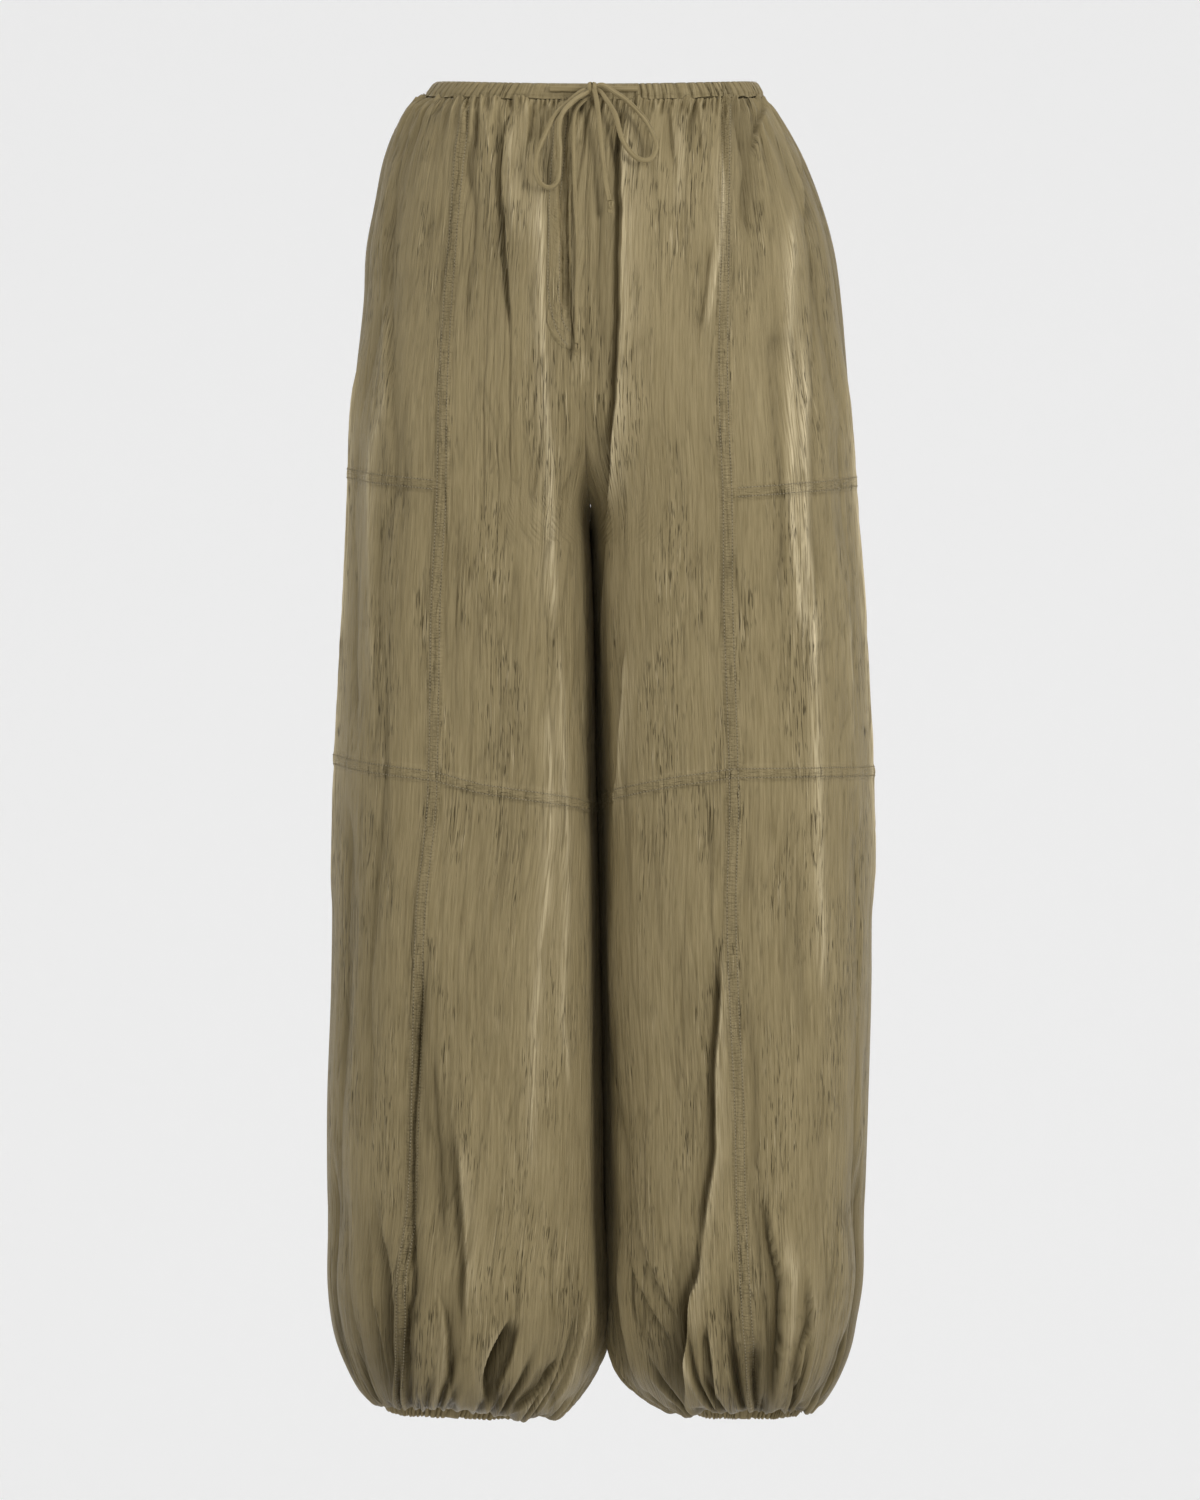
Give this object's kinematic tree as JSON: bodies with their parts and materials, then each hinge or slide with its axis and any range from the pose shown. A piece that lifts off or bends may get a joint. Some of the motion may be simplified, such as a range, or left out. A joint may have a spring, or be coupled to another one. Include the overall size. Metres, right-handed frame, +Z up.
{
  "type": "parachute pants",
  "caption": "Parachute pants of crinkled olive satin with a gathered drawstring waist, side panels and balloon legs gathered into narrow elastic cuffs.",
  "frame": {"origin": "middle of the waist ring, half way up the waistband, where a wearer's waist or a hanger holds it", "axes": "+Z up through the waist opening, -Y out of the front, +X towards the picture's right"},
  "size_m": [0.4217, 0.2698, 1.0305],
  "materials": {
    "cloth": "crinkled satin, soft sheen",
    "casing": "gathered satin over elastic",
    "tie": "satin tie of the same cloth"
  },
  "bodies": {
    "root": {"left_front_upper": "cloth", "left_front_lower": "cloth", "left_side_top": "cloth", "left_side_mid": "cloth", "left_side_lower": "cloth", "left_back_upper": "cloth", "left_back_lower": "cloth", "right_front_upper": "cloth", "right_front_lower": "cloth", "right_side_top": "cloth", "right_side_mid": "cloth", "right_side_lower": "cloth", "right_back_upper": "cloth", "right_back_lower": "cloth", "fly": "cloth", "waistband": "casing", "cuff_left": "casing", "cuff_right": "casing", "drawstring_left_band": "tie", "drawstring_right_band": "tie", "bow_loop_left": "tie", "bow_loop_right": "tie", "tail_short": "tie", "tail_long": "tie", "bow_knot": "tie", "tail_knot_short": "tie", "tail_knot_long": "tie"}
  },
  "joints": []
}
